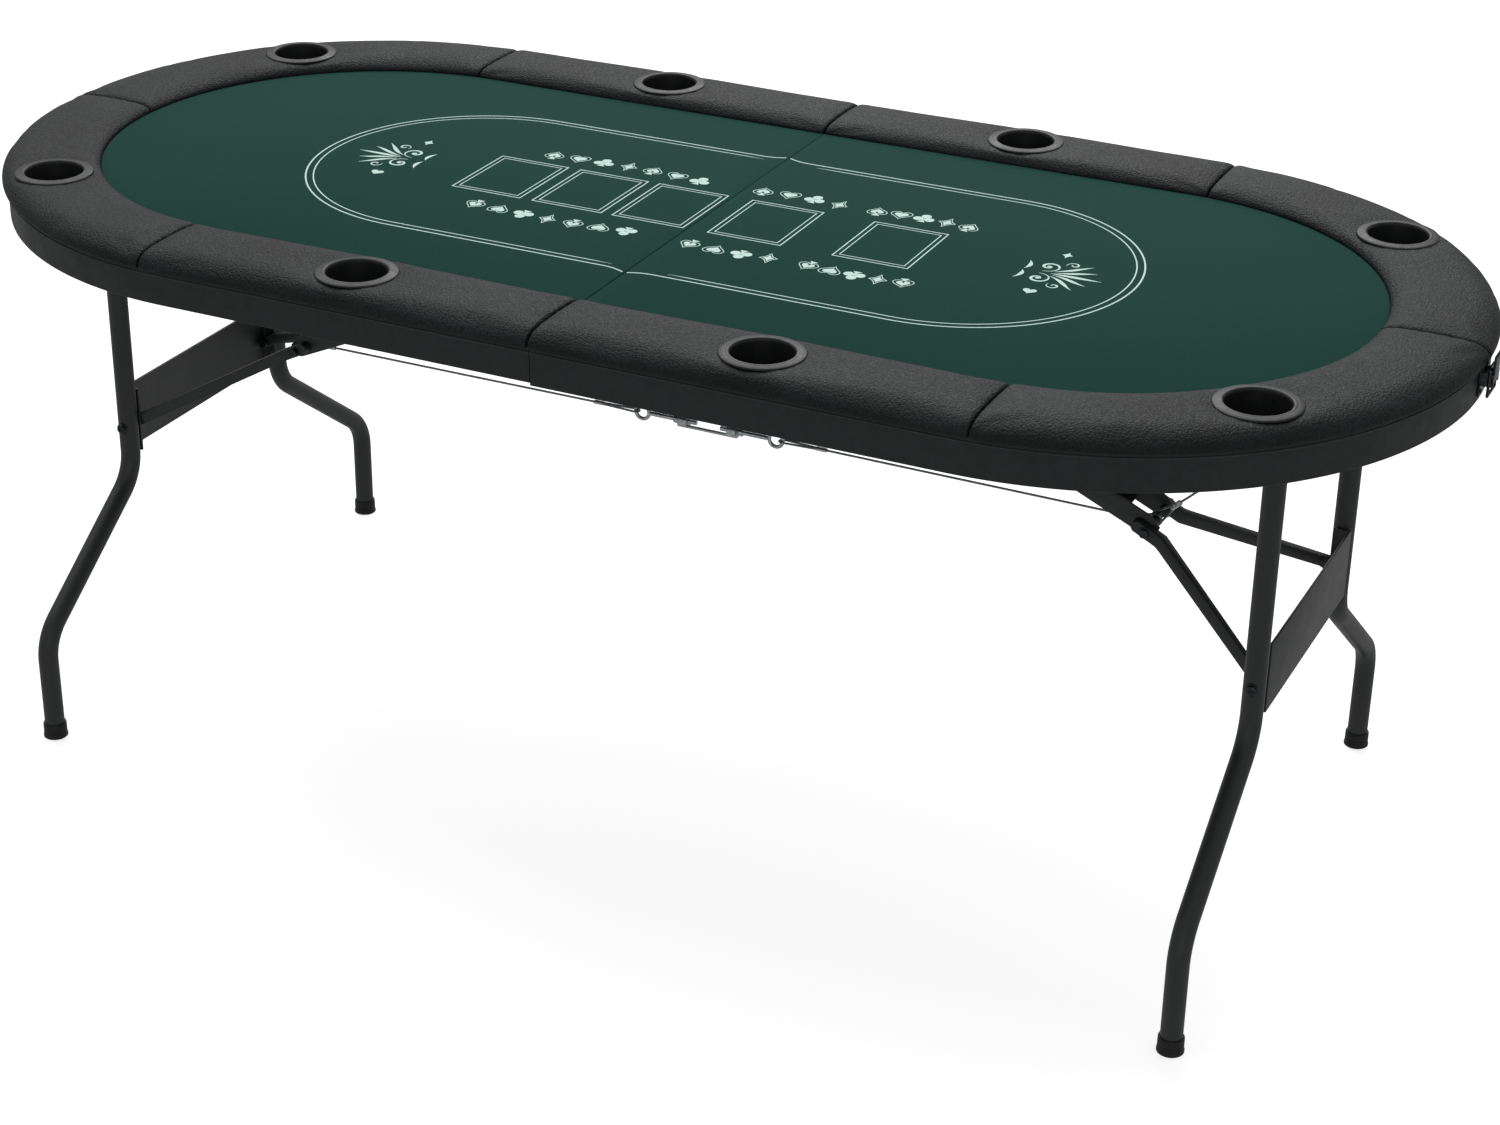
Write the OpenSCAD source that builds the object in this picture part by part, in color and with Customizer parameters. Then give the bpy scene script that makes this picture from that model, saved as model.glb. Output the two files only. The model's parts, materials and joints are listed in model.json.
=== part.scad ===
// Folding eight-seat poker table: two half tables on S-bent tube legs, tied by a wire-rope truss.
// Millimetres, X along the table, Y across it, Z up, floor at z = 0, table centre at x = y = 0.

/* [Table top] */
// Overall length of the padded rail
table_length = 1830; // [1600:10:2200]
// Overall width of the padded rail
table_width = 880; // [800:10:1000]
// Height of the top of the felt
felt_height = 711; // [680:1:760]
// Width of the padded rail, seen from above
rail_width = 120; // [106:1:150]
// Height of the rail's crown above the felt
rail_rise = 13; // [8:1:30]
// Distance from the fold to the seam between the middle and end pads
seam_x = 500; // [420:5:560]
// Clearance between the two halves at the fold, on each side
fold_gap = 0.4; // [0.2:0.1:2]
// Depth of the left half's apron below the felt
apron_left = 51; // [40:1:70]
// Depth of the right half's apron below the felt
apron_right = 54; // [40:1:70]

/* [Cup holders] */
// Outer radius of the flange ring
ring_r = 47; // [42:0.5:55]
// Outer radius of the cup at its mouth
cup_r = 39; // [36:0.5:41]
// Depth of the cup below the flange
cup_depth = 40; // [32:1:44]
// Distance of the middle cup holders from the fold
cup_x = 247; // [200:1:300]
// Turn of the end cup holders around the rounded end, degrees
cup_turn = 45; // [30:1:60]

/* [Legs] */
// Distance of each leg frame from the fold
leg_x = 742; // [650:1:800]
// Distance of the upper tubes from the centre line
leg_y = 168; // [120:1:220]
// Distance of the feet from the centre line
foot_y = 368; // [250:1:390]
// Outer diameter of the leg tube
tube_d = 25; // [20:0.5:32]
// Wall of the leg tube
tube_wall = 1.5; // [1:0.1:3]
// Height where the S-bend begins
bend_top = 318; // [250:1:380]
// Height of the leg pivots
pivot_z = 671; // [660:1:680]

/* [Braces] */
// Height of the bolts that join the arms to the legs
arm_z = 352; // [300:1:400]
// Length of a Y-brace arm between its pivots
arm_len = 195.93; // [150:0.1:260]
// Length of the upper link between its pivots
link_len = 584.93; // [500:0.1:640]
// Distance of the upper link's pivot from the fold
link_x = 34; // [30:1:60]
// Height of the upper link's pivot
link_z = 681; // [670:1:685]

/* [Wire rope] */
// Diameter of the wire rope
rope_d = 3; // [2:0.5:5]
// Height of the turnbuckle
rope_z = 438; // [400:1:480]
// Distance of the rope's outer anchors from the fold
anchor_x = 820; // [780:1:860]

/* [Hidden] */
half_w = table_width / 2;
end_x = table_length / 2 - half_w;
rail_in = half_w - rail_width;
apron_out = half_w - 8;
apron_in = apron_out - 12;
board_top = felt_height - 2;
board_low = board_top - 11;
wall = 18;
apron_low = [felt_height - apron_left, felt_height - apron_right];
hinge_z = min(apron_low) - 4;
crown = felt_height + rail_rise;
ring_top = crown + 1.5;
cup_c = half_w - 62;
bend_r = 60;
tube_r = tube_d / 2;
deck_black = [0.06, 0.06, 0.07];
felt_green = [0.11, 0.27, 0.22];
pad_black = [0.13, 0.13, 0.14];
coat_black = [0.12, 0.13, 0.13];
rubber = [0.05, 0.05, 0.05];
zinc = [0.72, 0.74, 0.75];
cup_black = [0.08, 0.08, 0.09];

// the brace's joints in the x-z plane of the right half: deck pivot, leg pivot and the knee between them
U = [link_x, link_z];
A = [leg_x, arm_z];
reach = norm(A - U);
along = (link_len * link_len - arm_len * arm_len + reach * reach) / (2 * reach);
off = sqrt(link_len * link_len - along * along);
dir = (A - U) / reach;
K = U + along * dir + off * [-dir[1], dir[0]];
link_tilt = atan2(K[1] - U[1], K[0] - U[0]);
arm_tilt = atan2(K[1] - A[1], A[0] - K[0]);
eye_x = 90;
ferrule_x = 142;

module left() { mirror([1, 0, 0]) children(); }
module back() { mirror([0, 1, 0]) children(); }
module along_y(p, y0, y1, r) { translate([p[0], y0, p[1]]) rotate([-90, 0, 0]) cylinder(h = y1 - y0, r = r, $fn = 32); }
module along_x(x0, x1, y, z, r) { translate([x0, y, z]) rotate([0, 90, 0]) cylinder(h = x1 - x0, r = r, $fn = 24); }
module rod(a, b, r) {
    v = b - a;
    translate(a) rotate([0, acos(v[2] / norm(v)), atan2(v[1], v[0])]) cylinder(h = norm(v), r = r, $fn = 16);
}

// half of the oval at x > 0, grown to radius r about the straight's end
module half_oval(r, gap = fold_gap) {
    translate([gap, -r]) square([end_x - gap, 2 * r]);
    intersection() {
        translate([end_x, 0]) circle(r = r, $fn = 128);
        translate([end_x, -r]) square([r + 1, 2 * r]);
    }
}
function cup_at(end) = end ? [end_x + cup_c * cos(cup_turn), -cup_c * sin(cup_turn)] : [cup_x, -cup_c];

// the deck board stays clear of the cups: its edge steps in around each one
module deck() {
    notch = ring_r + 5;
    end = cup_at(true);
    color(deck_black) translate([0, 0, board_low]) linear_extrude(board_top - board_low) {
        half_oval(cup_c - cup_r - 1.8);
        intersection() {
            half_oval(apron_in);
            union() {
                translate([0, -half_w]) square([cup_x - notch, table_width]);
                translate([cup_x + notch, -half_w]) square([end[0] - cup_x - 2 * notch, table_width]);
                translate([end_x, end[1] + notch]) square([half_w, -2 * (end[1] + notch)]);
            }
        }
    }
}
module felt() {
    color(felt_green) translate([0, 0, board_top]) linear_extrude(felt_height - board_top) half_oval(rail_in - 0.4);
}
module apron(low) {
    color(coat_black) translate([0, 0, low]) {
        linear_extrude(board_top - low) difference() {
            half_oval(apron_out);
            half_oval(apron_in, -1);
        }
        translate([fold_gap, -apron_in, 0]) cube([wall, 2 * apron_in, board_low - low]);
    }
}

// cross-section of a padded rail: distance from the centre line, height
module pad_profile() {
    o = half_w;
    i = rail_in;
    polygon([[i, board_top], [i + 0.5, crown - 11], [i + 5, crown - 5], [i + 14, crown - 1.4], [i + 28, crown],
        [o - 28, crown], [o - 13, crown - 2], [o - 4.5, crown - 7], [o - 0.6, crown - 14], [o, crown - 19],
        [o - 2, crown - 23], [apron_out + 0.3, crown - 23], [apron_out + 0.3, board_top]]);
}
module quarter_rail() {
    translate([fold_gap, 0, 0]) rotate([90, 0, 90]) mirror([1, 0, 0]) linear_extrude(end_x - fold_gap) pad_profile();
    translate([end_x, 0, 0]) rotate([0, 0, -90]) rotate_extrude(angle = 90, $fn = 128) pad_profile();
}
module pad(end) {
    color(pad_black) difference() {
        intersection() {
            quarter_rail();
            if (end) translate([seam_x + 0.15, -half_w - 1, 600]) cube([half_w, half_w + 0.85, 200]);
            else translate([0, -half_w - 1, 600]) cube([seam_x - 0.15, half_w, 200]);
        }
        translate([cup_at(end)[0], cup_at(end)[1], 600]) cylinder(h = 200, r = cup_r + 1.5, $fn = 48);
        translate([cup_at(end)[0], cup_at(end)[1], crown - 2]) cylinder(h = 10, r = ring_r + 0.3, $fn = 48);
    }
}
module cup(end) {
    low = ring_top - cup_depth;
    color(cup_black) translate([cup_at(end)[0], cup_at(end)[1], 0]) rotate_extrude($fn = 48)
        polygon([[0, low], [cup_r - 5, low], [cup_r - 3.4, low + 2], [cup_r, crown - 2], [ring_r, crown - 2],
            [ring_r, ring_top - 1.2], [ring_r - 1.2, ring_top], [cup_r - 1, ring_top], [cup_r - 2.2, ring_top - 1.2],
            [cup_r - 5.6, low + 3.4], [cup_r - 7, low + 2], [0, low + 2]]);
}

// fold hinges under the inner walls
hinge_ys = [-230, 230];
knuckle_r = 3.8;
module leaf(sides, low) {
    color(zinc) for (y = hinge_ys) difference() {
        union() {
            translate([fold_gap + 0.2, y - 24.8, hinge_z]) cube([wall - 1, 49.6, low - hinge_z]);
            for (k = sides) along_y([0, hinge_z], y + k - 4.8, y + k + 4.8, knuckle_r);
        }
        along_y([0, hinge_z], y - 32, y + 32, 2.05);
        for (k = [-20, -10, 0, 10, 20]) if (len(search(k, sides)) == 0) along_y([0, hinge_z], y + k - 5, y + k + 5, 4.1);
    }
}
module pins() {
    color(zinc) for (y = hinge_ys) {
        along_y([0, hinge_z], y - 26, y + 26, 2);
        for (s = [-1, 1]) along_y([0, hinge_z], s > 0 ? y + 25.2 : y - 27, s > 0 ? y + 27 : y - 25.2, 3.2);
    }
}

// hanging plates that hold the leg axle and the upper link
module brackets() {
    color(coat_black) {
        for (s = [-1, 1]) difference() {
            union() {
                translate([leg_x - 25, s > 0 ? leg_y + 17 : -leg_y - 43, board_low - 3]) cube([50, 26, 3]);
                hull() {
                    translate([leg_x - 20, s > 0 ? leg_y + 17 : -leg_y - 20, board_low - 3]) cube([40, 3, 3]);
                    along_y([leg_x, pivot_z], s > 0 ? leg_y + 17 : -leg_y - 20, s > 0 ? leg_y + 20 : -leg_y - 17, 11);
                }
            }
            along_y([leg_x, pivot_z], -leg_y - 30, leg_y + 30, 7.05);
        }
        for (s = [-1, 1]) difference() {
            union() {
                translate([link_x - 14, s > 0 ? 31 : -56, board_low - 2]) cube([34, 25, 2]);
                translate([link_x - 10, s > 0 ? 31 : -33.5, link_z - 9]) cube([22, 2.5, board_low - link_z + 9]);
            }
            along_y(U, -60, 60, 4.05);
        }
    }
}
module rope_anchor() {
    color(zinc) {
        translate([anchor_x - 12, -6, board_low - 2]) cube([24, 20, 2]);
        translate([anchor_x, 4, board_low - 11]) rotate([0, 0, 90]) rotate([90, 0, 0]) rotate_extrude($fn = 32)
            translate([8, 0]) circle(r = 2, $fn = 16);
    }
}

// one leg tube: upright, bend, slope, bend, upright; slope of a 3-4-5 triangle
rise = 0.6;
run = 0.8;
bend_turn = atan2(run, rise);
slope_len = (foot_y - leg_y - 2 * bend_r * (1 - rise)) / run;
slope_y = leg_y - foot_y + bend_r * (1 - rise);
slope_z = bend_top - bend_r * run - slope_len * rise;
module leg_line(r) {
    translate([0, 0, bend_top]) cylinder(h = pivot_z + 12 - bend_top, r = r, $fn = 32);
    translate([0, -bend_r, bend_top]) multmatrix([[0, 0, 1, 0], [1, 0, 0, 0], [0, -1, 0, 0], [0, 0, 0, 1]])
        rotate_extrude(angle = bend_turn, $fn = 72) translate([bend_r, 0]) circle(r = r, $fn = 32);
    translate([0, slope_y, slope_z]) multmatrix([[1, 0, 0, 0], [0, rise, run, 0], [0, -run, rise, 0], [0, 0, 0, 1]])
        cylinder(h = slope_len, r = r, $fn = 32);
    translate([0, leg_y - foot_y + bend_r, slope_z - bend_r * run])
        multmatrix([[0, 0, 1, 0], [-1, 0, 0, 0], [0, 1, 0, 0], [0, 0, 0, 1]])
        rotate_extrude(angle = bend_turn, $fn = 72) translate([bend_r, 0]) circle(r = r, $fn = 32);
    translate([0, leg_y - foot_y, 3]) cylinder(h = slope_z - bend_r * run - 3, r = r, $fn = 32);
}
module leg() {
    color(coat_black) difference() {
        translate([leg_x, -leg_y, 0]) leg_line(tube_r);
        translate([leg_x, -leg_y, 0]) leg_line(tube_r - tube_wall);
        along_y([leg_x, pivot_z], -leg_y - 30, -leg_y + 30, 7);
        along_y(A, -leg_y - 30, -leg_y + 30, 4);
    }
}
module axle() {
    color(coat_black) {
        along_y([leg_x, pivot_z], -leg_y - 22, leg_y + 22, 7);
        for (s = [-1, 1]) along_y([leg_x, pivot_z], s > 0 ? leg_y + 20.4 : -leg_y - 23, s > 0 ? leg_y + 23 : -leg_y - 20.4, 9);
    }
}
module cross_plate() {
    t = 3;
    y1 = leg_y - tube_r;
    color(coat_black) difference() {
        union() {
            translate([leg_x + 9, -y1, arm_z - 38]) cube([t, 2 * y1, 85]);
            for (s = [-1, 1]) translate([leg_x - 9, s > 0 ? y1 - t : -y1, arm_z - 38]) cube([19, t, 85]);
        }
        along_y(A, -y1 - 1, y1 + 1, 4);
    }
}
module feet() {
    color(rubber) for (s = [-1, 1]) translate([leg_x, s * foot_y, 0]) difference() {
        union() {
            cylinder(h = 20, r = tube_r + 2.3, $fn = 40);
            cylinder(h = 4, r = tube_r + 3, $fn = 40);
        }
        translate([0, 0, 3]) cylinder(h = 30, r = tube_r, $fn = 40);
    }
}
module leg_bolts() {
    color(coat_black) for (s = [0, 1]) mirror([0, s, 0]) {
        along_y(A, -leg_y - tube_r - 0.1, -leg_y + 32.6, 4);
        along_y(A, -leg_y - tube_r - 4.5, -leg_y - tube_r, 7.5);
        along_y(A, -leg_y + 28.2, -leg_y + 33, 6.5);
    }
}

// one arm of the Y-brace, drawn flat from its leg pivot (x = 0) to the knee (x = arm_len), then tilted
arm_w = 12;
arm_h = 14;
module arm() {
    y0 = leg_y - tube_r - 3.3 - arm_w / 2;
    y1 = 31.2 + arm_w / 2;
    w = arm_w / 2;
    k = 3;
    color(coat_black) translate([A[0], 0, A[1]]) mirror([1, 0, 0]) rotate([0, -arm_tilt, 0]) difference() {
        intersection() {
            translate([0, 0, -20]) linear_extrude(40) polygon([[-8, -y0 - w], [12, -y0 - w],
                [arm_len - 24, -y1 - w - k], [arm_len - 18, -y1 - w], [arm_len + 18, -y1 - w],
                [arm_len + 18, -y1 + w], [arm_len - 22, -y1 + w], [16, -y0 + w], [-8, -y0 + w]]);
            rotate([90, 0, 0]) linear_extrude(200) {
                circle(r = arm_h / 2, $fn = 32);
                translate([0, -arm_h / 2]) square([arm_len + 11, arm_h]);
                translate([arm_len + 11, 0]) circle(r = arm_h / 2, $fn = 32);
            }
        }
        along_y([0, 0], -y0 - 20, -y0 + 20, 4.05);
        along_y([arm_len, 0], -y1 - 20, -y1 + 20, 4);
    }
}
module knee_bolts() {
    color(coat_black) for (s = [0, 1]) mirror([0, s, 0]) {
        along_y(K, -31.2 - arm_w, -31.2, 4);
        along_y(K, -31.2 - arm_w - 4.5, -31.2 - arm_w, 7);
    }
}

// upper link: a channel drawn flat from the deck pivot (x = 0) to the knee (x = link_len)
flange_h = 22;
module link() {
    h = flange_h / 2;
    t = 3;
    color(coat_black) {
        translate([U[0], 0, U[1]]) rotate([0, -link_tilt, 0]) {
            for (s = [-1, 1])
                translate([0, s > 0 ? 30 : -27, 0]) rotate([90, 0, 0]) linear_extrude(t) {
                    circle(r = h, $fn = 32);
                    translate([0, -h]) square([link_len, flange_h]);
                    translate([link_len, 0]) circle(r = h, $fn = 32);
                    polygon([[link_len - 64, h], [link_len - 40, 15], [link_len - 6, 15], [link_len + h, 8],
                        [link_len + h, 0], [link_len - 64, 0]]);
                }
            difference() {
                translate([26, -27, -h]) cube([link_len - 60, 54, t]);
                translate([link_len - 150, -9, -h - 1]) cube([link_len, 18, t + 2]);
            }
        }
        along_y(K, -30.9, 30.9, 4);
        along_y(K, -27, 27, 5);
        along_y(U, -36, 36, 4);
        for (s = [-1, 1]) along_y(U, s > 0 ? 34 : -37, s > 0 ? 37 : -34, 6);
    }
}

// one side's wire rope: turnbuckle eye, knee and deck anchor, with its loops and crimped ferrules
module rope() {
    r = rope_d / 2;
    g = 4.4;
    p = K;
    z0 = rope_z;
    f2 = [p[0] - 37, z0 + 0.5];
    ra = 7;
    a = [anchor_x, board_low - 19];
    d = (a - p) / norm(a - p);
    n = [-d[1], d[0]];
    f3 = p + 22 * d;
    f4 = a - 30 * d;
    color(zinc) {
        // loop through the turnbuckle's eye
        translate([eye_x + 9, 0, z0]) rotate([0, 0, 90]) rotate_extrude(angle = 180, $fn = 32)
            translate([g, 0]) circle(r = r, $fn = 16);
        for (s = [-1, 1]) rod([eye_x + 9, s * g, z0], [ferrule_x + 2, s * 1.6, z0], r);
        along_x(ferrule_x, ferrule_x + 15, 0, z0, 3.4);
        rod([ferrule_x + 12, 0, z0], [f2[0] + 2, -4, f2[1]], r);
        // loop around the knee's sleeve
        along_x(f2[0], f2[0] + 14, -4, f2[1], 3.4);
        for (s = [-1, 1]) rod([f2[0] + 12, -4, f2[1] + s * 1.6], [p[0], -4, p[1] + s * ra], r);
        translate([p[0], -4, p[1]]) rotate([90, 0, 0]) rotate([0, 0, -90]) rotate_extrude(angle = 180, $fn = 32)
            translate([ra, 0]) circle(r = r, $fn = 16);
    }
    color(zinc) {
        // second loop on the same sleeve, and the outer run up to the anchor
        translate([p[0], 4, p[1]]) rotate([90, 0, 0]) rotate([0, 0, atan2(d[1], d[0]) + 90]) rotate_extrude(angle = 180, $fn = 32)
            translate([ra, 0]) circle(r = r, $fn = 16);
        for (s = [-1, 1]) rod([p[0] + s * ra * n[0], 4, p[1] + s * ra * n[1]],
            [f3[0] + s * 1.6 * n[0], 4, f3[1] + s * 1.6 * n[1]], r);
        rod([f3[0] - 2 * d[0], 4, f3[1] - 2 * d[1]], [f3[0] + 13 * d[0], 4, f3[1] + 13 * d[1]], 3.4);
        rod([f3[0] + 10 * d[0], 4, f3[1] + 10 * d[1]], [f4[0], 4, f4[1]], r);
        rod([f4[0] - 3 * d[0], 4, f4[1] - 3 * d[1]], [f4[0] + 11 * d[0], 4, f4[1] + 11 * d[1]], 3.4);
        for (s = [-1, 1]) rod([f4[0] + 9 * d[0] + s * 1.6 * n[0], 4, f4[1] + 9 * d[1] + s * 1.6 * n[1]],
            [a[0] + s * g * n[0], 4, a[1] + s * g * n[1]], r);
        translate([a[0], 4, a[1]]) rotate([90, 0, 0]) rotate([0, 0, atan2(d[1], d[0]) - 90])
            rotate_extrude(angle = 180, $fn = 32) translate([g, 0]) circle(r = r, $fn = 16);
    }
}

module turnbuckle_body() {
    color(zinc) difference() {
        union() {
            for (s = [-1, 1]) {
                along_x(s > 0 ? 27 : -39, s > 0 ? 39 : -27, 0, rope_z, 8.5);
                along_x(-30, 30, 0, rope_z + s * 7, 2.2);
            }
        }
        along_x(-50, 50, 0, rope_z, 3.05);
    }
}
module turnbuckle_eye() {
    color(zinc) {
        along_x(16, eye_x - 9, 0, rope_z, 3);
        along_x(41, 46, 0, rope_z, 5.6);
        translate([eye_x, 0, rope_z]) rotate([90, 0, 0]) rotate_extrude($fn = 32) translate([9, 0]) circle(r = 2.5, $fn = 16);
    }
}

// draw latch on the right end of the apron
plate_x = end_x + apron_out;
latch_z = felt_height - 27;
plate_h = 35;
latch_reach = 12.5 + 2.5 * cos(30) + 8 * sin(30);
module latch_base() {
    color(coat_black) difference() {
        union() {
            translate([plate_x, -15, latch_z - 19]) cube([2, 30, plate_h]);
            for (s = [-1, 1]) translate([plate_x + 1, s > 0 ? 11 : -13, latch_z - 7]) cube([14, 2, 14]);
        }
        along_y([plate_x + 11, latch_z], -20, 20, 2.05);
    }
}
module latch_lever() {
    px = plate_x + 11;
    color(coat_black) {
        difference() {
            union() {
                translate([px + 1.5, -10.6, latch_z - 3]) cube([2.5, 21.2, 30]);
                along_y([px, latch_z], -10.6, 10.6, 4);
                along_y([px, latch_z + 11], -10.6, 10.6, 4);
                translate([px + 1.5, -10.6, latch_z + 26.5]) rotate([0, 30, 0]) cube([2.5, 21.2, 8]);
            }
            along_y([px, latch_z + 11], -20, 20, 1.75);
        }
        along_y([px, latch_z], -14.4, 14.4, 2);
    }
}
module latch_bail() {
    r = 1.65;
    px = plate_x + 11;
    y = 16.6;
    color(coat_black) {
        for (z = [latch_z + 11, latch_z - 16]) along_y([px, z], -y, y, r);
        for (s = [-1, 1]) rod([px, s * y, latch_z - 16], [px, s * y, latch_z + 11], r);
        for (s = [-1, 1], z = [latch_z + 11, latch_z - 16]) translate([px, s * y, z]) sphere(r = r, $fn = 16);
    }
}
module latch_keeper() {
    color(coat_black) mirror([1, 0, 0]) {
        translate([plate_x, -15, latch_z - 19]) cube([2, 30, plate_h]);
        translate([plate_x + 1, -10, latch_z - 8]) cube([latch_reach - 1, 20, 2.5]);
        translate([plate_x + latch_reach - 2.5, -10, latch_z - 8]) cube([2.5, 20, 9]);
    }
}

left() deck();  // deck_left
deck();  // deck_right
left() felt();  // felt_left
felt();  // felt_right
left() apron(apron_low[0]);  // apron_left_half
apron(apron_low[1]);  // apron_right_half
left() pad(false);  // pad_left_front_mid
left() pad(true);  // pad_left_front_end
left() back() pad(false);  // pad_left_back_mid
left() back() pad(true);  // pad_left_back_end
pad(false);  // pad_right_front_mid
pad(true);  // pad_right_front_end
back() pad(false);  // pad_right_back_mid
back() pad(true);  // pad_right_back_end
left() cup(false);  // cup_left_front_mid
left() cup(true);  // cup_left_front_end
left() back() cup(false);  // cup_left_back_mid
left() back() cup(true);  // cup_left_back_end
cup(false);  // cup_right_front_mid
cup(true);  // cup_right_front_end
back() cup(false);  // cup_right_back_mid
back() cup(true);  // cup_right_back_end
left() leaf([-20, 0, 20], apron_low[0]);  // hinge_leaf_left
leaf([-10, 10], apron_low[1]);  // hinge_leaf_right
pins();  // hinge_pins
left() brackets();  // brackets_left
brackets();  // brackets_right
left() rope_anchor();  // rope_anchor_left
rope_anchor();  // rope_anchor_right
left() leg();  // leg_left_front
left() back() leg();  // leg_left_back
leg();  // leg_right_front
back() leg();  // leg_right_back
left() axle();  // axle_left
axle();  // axle_right
left() cross_plate();  // cross_plate_left
cross_plate();  // cross_plate_right
left() feet();  // feet_left
feet();  // feet_right
left() leg_bolts();  // leg_bolts_left
leg_bolts();  // leg_bolts_right
left() arm();  // arm_left_front
left() back() arm();  // arm_left_back
arm();  // arm_right_front
back() arm();  // arm_right_back
left() knee_bolts();  // knee_bolts_left
knee_bolts();  // knee_bolts_right
left() link();  // link_left
link();  // link_right
left() rope();  // rope_left
rope();  // rope_right
turnbuckle_body();
left() turnbuckle_eye();  // turnbuckle_eye_left
turnbuckle_eye();  // turnbuckle_eye_right
latch_base();
latch_lever();
latch_bail();
latch_keeper();
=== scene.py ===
"""Looks of a folding eight-seat poker table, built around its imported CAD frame."""

import json
import math

import bmesh
import bpy
import numpy as np
from mathutils import Matrix, Vector


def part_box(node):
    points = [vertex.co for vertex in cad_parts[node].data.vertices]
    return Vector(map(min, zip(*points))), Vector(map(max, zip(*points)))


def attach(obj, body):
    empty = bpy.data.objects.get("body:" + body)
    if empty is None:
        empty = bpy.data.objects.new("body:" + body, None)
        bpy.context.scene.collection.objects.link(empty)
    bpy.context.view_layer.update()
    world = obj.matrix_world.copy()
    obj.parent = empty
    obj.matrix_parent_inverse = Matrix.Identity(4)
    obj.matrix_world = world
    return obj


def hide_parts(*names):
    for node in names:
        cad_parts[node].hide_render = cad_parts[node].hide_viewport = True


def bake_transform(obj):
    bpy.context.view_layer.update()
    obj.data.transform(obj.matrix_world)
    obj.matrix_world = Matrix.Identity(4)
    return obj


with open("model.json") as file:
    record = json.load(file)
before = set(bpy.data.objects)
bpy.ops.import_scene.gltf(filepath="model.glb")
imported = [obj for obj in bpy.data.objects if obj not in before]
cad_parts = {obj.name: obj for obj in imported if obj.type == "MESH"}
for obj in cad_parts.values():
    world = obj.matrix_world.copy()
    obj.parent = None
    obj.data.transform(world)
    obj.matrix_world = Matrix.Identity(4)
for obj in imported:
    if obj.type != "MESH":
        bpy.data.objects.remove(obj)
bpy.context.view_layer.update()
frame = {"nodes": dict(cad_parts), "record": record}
scene = bpy.context.scene
MM = 0.001
SIDES = (("left", -1), ("right", 1))
DEPTHS = (("front", -1), ("back", 1))


# ---------------- measures of the table, from its frame

def centre(node):
    """The middle of a node's box."""
    low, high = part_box(node)
    return (low + high) / 2


deck_low, deck_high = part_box("deck_right")
pad_low, pad_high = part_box("pad_right_back_mid")
end_low, end_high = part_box("pad_right_front_end")
cup_low, cup_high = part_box("cup_right_front_mid")
leg_low, leg_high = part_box("leg_right_front")
FELT_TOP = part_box("felt_right")[1].z
BOARD_TOP = deck_high.z
BOARD_LOW = deck_low.z
BOARD_OUT = deck_high.y
GAP = deck_low.x
RAIL_OUT = pad_high.y
RAIL_IN = pad_low.y
CROWN = pad_high.z
LIP_LOW = pad_low.z
SEAM_X = pad_high.x
END_X = end_high.x - RAIL_OUT
SEAM_GAP = (end_low.x - SEAM_X) / 2
APRON_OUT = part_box("apron_right_half")[1].y
RING_TOP = cup_high.z
RING_R = (cup_high.x - cup_low.x) / 2
CUP_LOW = cup_low.z
LEG_X = centre("leg_right_front").x
TUBE_R = (leg_high.x - leg_low.x) / 2
LEG_TOP = leg_high.z
LEG_Y = -(leg_high.y - TUBE_R)
FOOT_Y = -(leg_low.y + TUBE_R)
KNEE = centre("knee_bolts_right")
LEG_BOLT = centre("leg_bolts_right")
ROPE_Z = centre("turnbuckle_body").z
CUP_CENTRES = {(side, depth, kind): centre(f"cup_{side}_{depth}_{kind}")
               for side, _ in SIDES for depth, _ in DEPTHS for kind in ("mid", "end")}


# ---------------- camera, floor and light

def stand(name, data, place=(0, 0, 0), turn=(0, 0, 0)):
    """A new object in the scene."""
    made = bpy.data.objects.new(name, data)
    made.location = place
    made.rotation_euler = turn
    scene.collection.objects.link(made)
    return made


def aimed(way):
    """The turn that points a light along a direction."""
    return Vector(way).to_track_quat("-Z", "Y").to_euler()


def add_camera():
    """A standing person's view, from the front right."""
    data = bpy.data.cameras.new("camera")
    data.sensor_width = 36
    data.lens = 72.3
    data.shift_x = 0.0352
    data.shift_y = -0.0058
    yaw, pitch, roll = (math.radians(a) for a in (26.386, 26.686, 0.398))
    turn = (Matrix.Rotation(yaw, 3, "Z") @ Matrix.Rotation(math.pi / 2 - pitch, 3, "X")
            @ Matrix.Rotation(roll, 3, "Z"))
    scene.camera = stand("camera", data, (1.4662, -2.9843, 1.9357), turn.to_euler())


def add_light(name, place, target, size, power, size_y=None):
    """A rectangular area light aimed at a target."""
    data = bpy.data.lights.new(name, "AREA")
    data.shape = "RECTANGLE"
    data.size = size
    data.size_y = size_y or size
    data.energy = power
    stand(name, data, place, aimed(Vector(target) - Vector(place)))


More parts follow.
